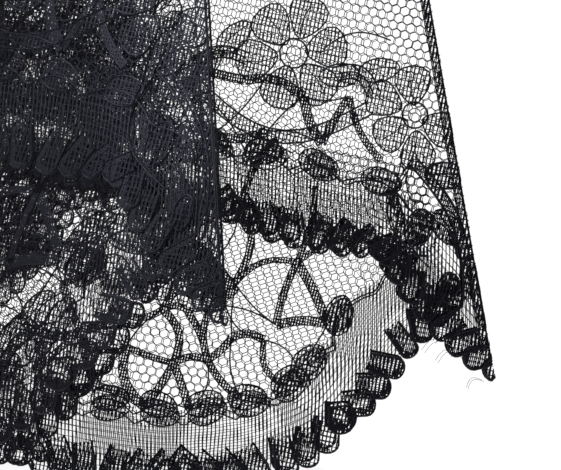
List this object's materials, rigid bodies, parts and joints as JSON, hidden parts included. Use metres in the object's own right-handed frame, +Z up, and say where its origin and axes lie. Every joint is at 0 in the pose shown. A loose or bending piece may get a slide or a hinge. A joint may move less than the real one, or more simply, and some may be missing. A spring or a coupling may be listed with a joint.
{
  "type": "lace parasol",
  "caption": "Black lace parasol, point up and nearly closed, with ribs, stretchers, a sliding runner, spring catches and scalloped lace gores folded out in fins.",
  "frame": {"origin": "centre of the flat face at the handle's lower end", "axes": "+Z up the shaft to the point; +X over rib 1, and the ribs number anticlockwise from above"},
  "size_m": [0.4194, 0.4194, 0.8629],
  "materials": {
    "black_wood": "black lacquer over turned wood",
    "silver_metal": "aged silver-coloured metal, softly polished",
    "black_steel": "blackened steel, satin",
    "black_lace": "black cotton and silk lace: hexagonal net, dense clothwork flowers, outline cords, scalloped border"
  },
  "bodies": {
    "root": {"end_cap": "silver_metal", "handle": "black_wood", "handle_collar": "silver_metal", "shaft": "black_wood", "crown_notch": "black_steel", "crown_wire": "black_steel", "crown_cap": "silver_metal", "top_rosette": "black_lace", "ferrule": "silver_metal", "finial": "black_wood"},
    "runner": {"runner": "black_steel", "runner_grip": "silver_metal"},
    "lower_catch": {"lower_catch": "silver_metal"},
    "upper_catch": {"upper_catch": "silver_metal"},
    "rib_1": {"rib_1": "black_steel", "rib_tip_1": "black_steel"},
    "stretcher_1": {"stretcher_1": "black_steel"},
    "lace_left_1": {"lace_left_1": "black_lace"},
    "lace_right_1": {"lace_right_1": "black_lace"},
    "rib_2": {"rib_2": "black_steel", "rib_tip_2": "black_steel"},
    "stretcher_2": {"stretcher_2": "black_steel"},
    "lace_left_2": {"lace_left_2": "black_lace"},
    "lace_right_2": {"lace_right_2": "black_lace"},
    "rib_3": {"rib_3": "black_steel", "rib_tip_3": "black_steel"},
    "stretcher_3": {"stretcher_3": "black_steel"},
    "lace_left_3": {"lace_left_3": "black_lace"},
    "lace_right_3": {"lace_right_3": "black_lace"},
    "rib_4": {"rib_4": "black_steel", "rib_tip_4": "black_steel"},
    "stretcher_4": {"stretcher_4": "black_steel"},
    "lace_left_4": {"lace_left_4": "black_lace"},
    "lace_right_4": {"lace_right_4": "black_lace"},
    "rib_5": {"rib_5": "black_steel", "rib_tip_5": "black_steel"},
    "stretcher_5": {"stretcher_5": "black_steel"},
    "lace_left_5": {"lace_left_5": "black_lace"},
    "lace_right_5": {"lace_right_5": "black_lace"},
    "rib_6": {"rib_6": "black_steel", "rib_tip_6": "black_steel"},
    "stretcher_6": {"stretcher_6": "black_steel"},
    "lace_left_6": {"lace_left_6": "black_lace"},
    "lace_right_6": {"lace_right_6": "black_lace"},
    "rib_7": {"rib_7": "black_steel", "rib_tip_7": "black_steel"},
    "stretcher_7": {"stretcher_7": "black_steel"},
    "lace_left_7": {"lace_left_7": "black_lace"},
    "lace_right_7": {"lace_right_7": "black_lace"},
    "rib_8": {"rib_8": "black_steel", "rib_tip_8": "black_steel"},
    "stretcher_8": {"stretcher_8": "black_steel"},
    "lace_left_8": {"lace_left_8": "black_lace"},
    "lace_right_8": {"lace_right_8": "black_lace"}
  },
  "joints": [
    {"name": "runner_slide", "type": "slide", "parent": "root", "child": "runner", "axis": [0, 0, 1], "range_m": [0, 0.22655]},
    {"name": "lower_catch_press", "type": "hinge", "parent": "root", "child": "lower_catch", "pos_m": [0.00351, 0.00145, 0.46024], "axis": [0.3827, -0.9239, 0], "range_deg": [0, 3.5], "stiffness_Nm_per_rad": 0.6},
    {"name": "upper_catch_press", "type": "hinge", "parent": "root", "child": "upper_catch", "pos_m": [0.00351, 0.00145, 0.61099], "axis": [0.3827, -0.9239, 0], "range_deg": [0, 3.5], "stiffness_Nm_per_rad": 0.6},
    {"name": "rib_1_hinge", "type": "hinge", "parent": "root", "child": "rib_1", "pos_m": [0.01, 0, 0.78], "axis": [0, -1, 0], "range_deg": [0, 64]},
    {"name": "stretcher_1_hinge", "type": "hinge", "parent": "rib_1", "child": "stretcher_1", "pos_m": [0.03894, 0, 0.62462], "axis": [0, 1, 0], "range_deg": [0, 128]},
    {"name": "lace_left_1_fold", "type": "hinge", "parent": "rib_1", "child": "lace_left_1", "pos_m": [0.01, 0, 0.78], "axis": [-0.2079, 0, 0.9781], "range_deg": [0, 61.02]},
    {"name": "lace_right_1_fold", "type": "hinge", "parent": "rib_1", "child": "lace_right_1", "pos_m": [0.01, 0, 0.78], "axis": [0.2079, 0, -0.9781], "range_deg": [0, 61.02]},
    {"name": "rib_2_hinge", "type": "hinge", "parent": "root", "child": "rib_2", "pos_m": [0.00707, 0.00707, 0.78], "axis": [0.7071, -0.7071, 0], "range_deg": [0, 64]},
    {"name": "stretcher_2_hinge", "type": "hinge", "parent": "rib_2", "child": "stretcher_2", "pos_m": [0.02753, 0.02753, 0.62462], "axis": [-0.7071, 0.7071, 0], "range_deg": [0, 128]},
    {"name": "lace_left_2_fold", "type": "hinge", "parent": "rib_2", "child": "lace_left_2", "pos_m": [0.00707, 0.00707, 0.78], "axis": [-0.147, -0.147, 0.9781], "range_deg": [0, 61.02]},
    {"name": "lace_right_2_fold", "type": "hinge", "parent": "rib_2", "child": "lace_right_2", "pos_m": [0.00707, 0.00707, 0.78], "axis": [0.147, 0.147, -0.9781], "range_deg": [0, 61.02]},
    {"name": "rib_3_hinge", "type": "hinge", "parent": "root", "child": "rib_3", "pos_m": [0, 0.01, 0.78], "axis": [1, 0, 0], "range_deg": [0, 64]},
    {"name": "stretcher_3_hinge", "type": "hinge", "parent": "rib_3", "child": "stretcher_3", "pos_m": [0, 0.03894, 0.62462], "axis": [-1, 0, 0], "range_deg": [0, 128]},
    {"name": "lace_left_3_fold", "type": "hinge", "parent": "rib_3", "child": "lace_left_3", "pos_m": [0, 0.01, 0.78], "axis": [0, -0.2079, 0.9781], "range_deg": [0, 61.02]},
    {"name": "lace_right_3_fold", "type": "hinge", "parent": "rib_3", "child": "lace_right_3", "pos_m": [0, 0.01, 0.78], "axis": [0, 0.2079, -0.9781], "range_deg": [0, 61.02]},
    {"name": "rib_4_hinge", "type": "hinge", "parent": "root", "child": "rib_4", "pos_m": [-0.00707, 0.00707, 0.78], "axis": [0.7071, 0.7071, 0], "range_deg": [0, 64]},
    {"name": "stretcher_4_hinge", "type": "hinge", "parent": "rib_4", "child": "stretcher_4", "pos_m": [-0.02753, 0.02753, 0.62462], "axis": [-0.7071, -0.7071, 0], "range_deg": [0, 128]},
    {"name": "lace_left_4_fold", "type": "hinge", "parent": "rib_4", "child": "lace_left_4", "pos_m": [-0.00707, 0.00707, 0.78], "axis": [0.147, -0.147, 0.9781], "range_deg": [0, 61.02]},
    {"name": "lace_right_4_fold", "type": "hinge", "parent": "rib_4", "child": "lace_right_4", "pos_m": [-0.00707, 0.00707, 0.78], "axis": [-0.147, 0.147, -0.9781], "range_deg": [0, 61.02]},
    {"name": "rib_5_hinge", "type": "hinge", "parent": "root", "child": "rib_5", "pos_m": [-0.01, 0, 0.78], "axis": [0, 1, 0], "range_deg": [0, 64]},
    {"name": "stretcher_5_hinge", "type": "hinge", "parent": "rib_5", "child": "stretcher_5", "pos_m": [-0.03894, 0, 0.62462], "axis": [0, -1, 0], "range_deg": [0, 128]},
    {"name": "lace_left_5_fold", "type": "hinge", "parent": "rib_5", "child": "lace_left_5", "pos_m": [-0.01, 0, 0.78], "axis": [0.2079, 0, 0.9781], "range_deg": [0, 61.02]},
    {"name": "lace_right_5_fold", "type": "hinge", "parent": "rib_5", "child": "lace_right_5", "pos_m": [-0.01, 0, 0.78], "axis": [-0.2079, 0, -0.9781], "range_deg": [0, 61.02]},
    {"name": "rib_6_hinge", "type": "hinge", "parent": "root", "child": "rib_6", "pos_m": [-0.00707, -0.00707, 0.78], "axis": [-0.7071, 0.7071, 0], "range_deg": [0, 64]},
    {"name": "stretcher_6_hinge", "type": "hinge", "parent": "rib_6", "child": "stretcher_6", "pos_m": [-0.02753, -0.02753, 0.62462], "axis": [0.7071, -0.7071, 0], "range_deg": [0, 128]},
    {"name": "lace_left_6_fold", "type": "hinge", "parent": "rib_6", "child": "lace_left_6", "pos_m": [-0.00707, -0.00707, 0.78], "axis": [0.147, 0.147, 0.9781], "range_deg": [0, 61.02]},
    {"name": "lace_right_6_fold", "type": "hinge", "parent": "rib_6", "child": "lace_right_6", "pos_m": [-0.00707, -0.00707, 0.78], "axis": [-0.147, -0.147, -0.9781], "range_deg": [0, 61.02]},
    {"name": "rib_7_hinge", "type": "hinge", "parent": "root", "child": "rib_7", "pos_m": [0, -0.01, 0.78], "axis": [-1, 0, 0], "range_deg": [0, 64]},
    {"name": "stretcher_7_hinge", "type": "hinge", "parent": "rib_7", "child": "stretcher_7", "pos_m": [0, -0.03894, 0.62462], "axis": [1, 0, 0], "range_deg": [0, 128]},
    {"name": "lace_left_7_fold", "type": "hinge", "parent": "rib_7", "child": "lace_left_7", "pos_m": [0, -0.01, 0.78], "axis": [0, 0.2079, 0.9781], "range_deg": [0, 61.02]},
    {"name": "lace_right_7_fold", "type": "hinge", "parent": "rib_7", "child": "lace_right_7", "pos_m": [0, -0.01, 0.78], "axis": [0, -0.2079, -0.9781], "range_deg": [0, 61.02]},
    {"name": "rib_8_hinge", "type": "hinge", "parent": "root", "child": "rib_8", "pos_m": [0.00707, -0.00707, 0.78], "axis": [-0.7071, -0.7071, 0], "range_deg": [0, 64]},
    {"name": "stretcher_8_hinge", "type": "hinge", "parent": "rib_8", "child": "stretcher_8", "pos_m": [0.02753, -0.02753, 0.62462], "axis": [0.7071, 0.7071, 0], "range_deg": [0, 128]},
    {"name": "lace_left_8_fold", "type": "hinge", "parent": "rib_8", "child": "lace_left_8", "pos_m": [0.00707, -0.00707, 0.78], "axis": [-0.147, 0.147, 0.9781], "range_deg": [0, 61.02]},
    {"name": "lace_right_8_fold", "type": "hinge", "parent": "rib_8", "child": "lace_right_8", "pos_m": [0.00707, -0.00707, 0.78], "axis": [0.147, -0.147, -0.9781], "range_deg": [0, 61.02]}
  ],
  "couplings": [
    {"joint": "rib_1_hinge", "follows": "runner_slide", "rad_per_m": 4.9306},
    {"joint": "stretcher_1_hinge", "follows": "runner_slide", "rad_per_m": 9.8611},
    {"joint": "lace_left_1_fold", "follows": "runner_slide", "rad_per_m": 4.7011},
    {"joint": "lace_right_1_fold", "follows": "runner_slide", "rad_per_m": 4.7011},
    {"joint": "rib_2_hinge", "follows": "runner_slide", "rad_per_m": 4.9306},
    {"joint": "stretcher_2_hinge", "follows": "runner_slide", "rad_per_m": 9.8611},
    {"joint": "lace_left_2_fold", "follows": "runner_slide", "rad_per_m": 4.7011},
    {"joint": "lace_right_2_fold", "follows": "runner_slide", "rad_per_m": 4.7011},
    {"joint": "rib_3_hinge", "follows": "runner_slide", "rad_per_m": 4.9306},
    {"joint": "stretcher_3_hinge", "follows": "runner_slide", "rad_per_m": 9.8611},
    {"joint": "lace_left_3_fold", "follows": "runner_slide", "rad_per_m": 4.7011},
    {"joint": "lace_right_3_fold", "follows": "runner_slide", "rad_per_m": 4.7011},
    {"joint": "rib_4_hinge", "follows": "runner_slide", "rad_per_m": 4.9306},
    {"joint": "stretcher_4_hinge", "follows": "runner_slide", "rad_per_m": 9.8611},
    {"joint": "lace_left_4_fold", "follows": "runner_slide", "rad_per_m": 4.7011},
    {"joint": "lace_right_4_fold", "follows": "runner_slide", "rad_per_m": 4.7011},
    {"joint": "rib_5_hinge", "follows": "runner_slide", "rad_per_m": 4.9306},
    {"joint": "stretcher_5_hinge", "follows": "runner_slide", "rad_per_m": 9.8611},
    {"joint": "lace_left_5_fold", "follows": "runner_slide", "rad_per_m": 4.7011},
    {"joint": "lace_right_5_fold", "follows": "runner_slide", "rad_per_m": 4.7011},
    {"joint": "rib_6_hinge", "follows": "runner_slide", "rad_per_m": 4.9306},
    {"joint": "stretcher_6_hinge", "follows": "runner_slide", "rad_per_m": 9.8611},
    {"joint": "lace_left_6_fold", "follows": "runner_slide", "rad_per_m": 4.7011},
    {"joint": "lace_right_6_fold", "follows": "runner_slide", "rad_per_m": 4.7011},
    {"joint": "rib_7_hinge", "follows": "runner_slide", "rad_per_m": 4.9306},
    {"joint": "stretcher_7_hinge", "follows": "runner_slide", "rad_per_m": 9.8611},
    {"joint": "lace_left_7_fold", "follows": "runner_slide", "rad_per_m": 4.7011},
    {"joint": "lace_right_7_fold", "follows": "runner_slide", "rad_per_m": 4.7011},
    {"joint": "rib_8_hinge", "follows": "runner_slide", "rad_per_m": 4.9306},
    {"joint": "stretcher_8_hinge", "follows": "runner_slide", "rad_per_m": 9.8611},
    {"joint": "lace_left_8_fold", "follows": "runner_slide", "rad_per_m": 4.7011},
    {"joint": "lace_right_8_fold", "follows": "runner_slide", "rad_per_m": 4.7011}
  ]
}
